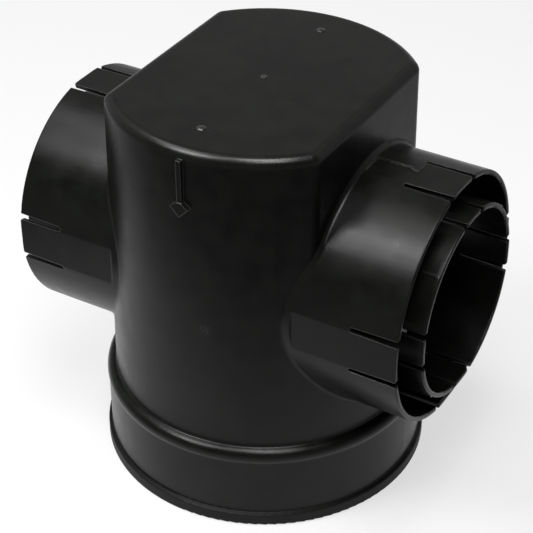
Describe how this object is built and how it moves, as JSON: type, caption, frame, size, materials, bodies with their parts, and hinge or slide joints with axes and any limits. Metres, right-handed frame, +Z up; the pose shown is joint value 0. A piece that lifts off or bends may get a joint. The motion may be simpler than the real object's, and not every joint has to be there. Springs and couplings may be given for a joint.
{
  "type": "catch_basin",
  "caption": "Black moulded plastic catch basin standing on its mouth, with a flow arrow and opposite drain outlets that have nested slit collars.",
  "frame": {"origin": "centre of the open mouth, on the surface that the basin stands on", "axes": "+X runs along the common axis of the two outlets, +Y runs across them with the flow arrow on the -Y side, and +Z is up from the open mouth to the closed end"},
  "size_m": [0.2232, 0.1688, 0.2093],
  "materials": {
    "black_plastic": "black moulded polyethylene, satin, with fine scuffs and a faint mould texture"
  },
  "bodies": {
    "root": {"basin_body": "black_plastic"}
  },
  "joints": []
}
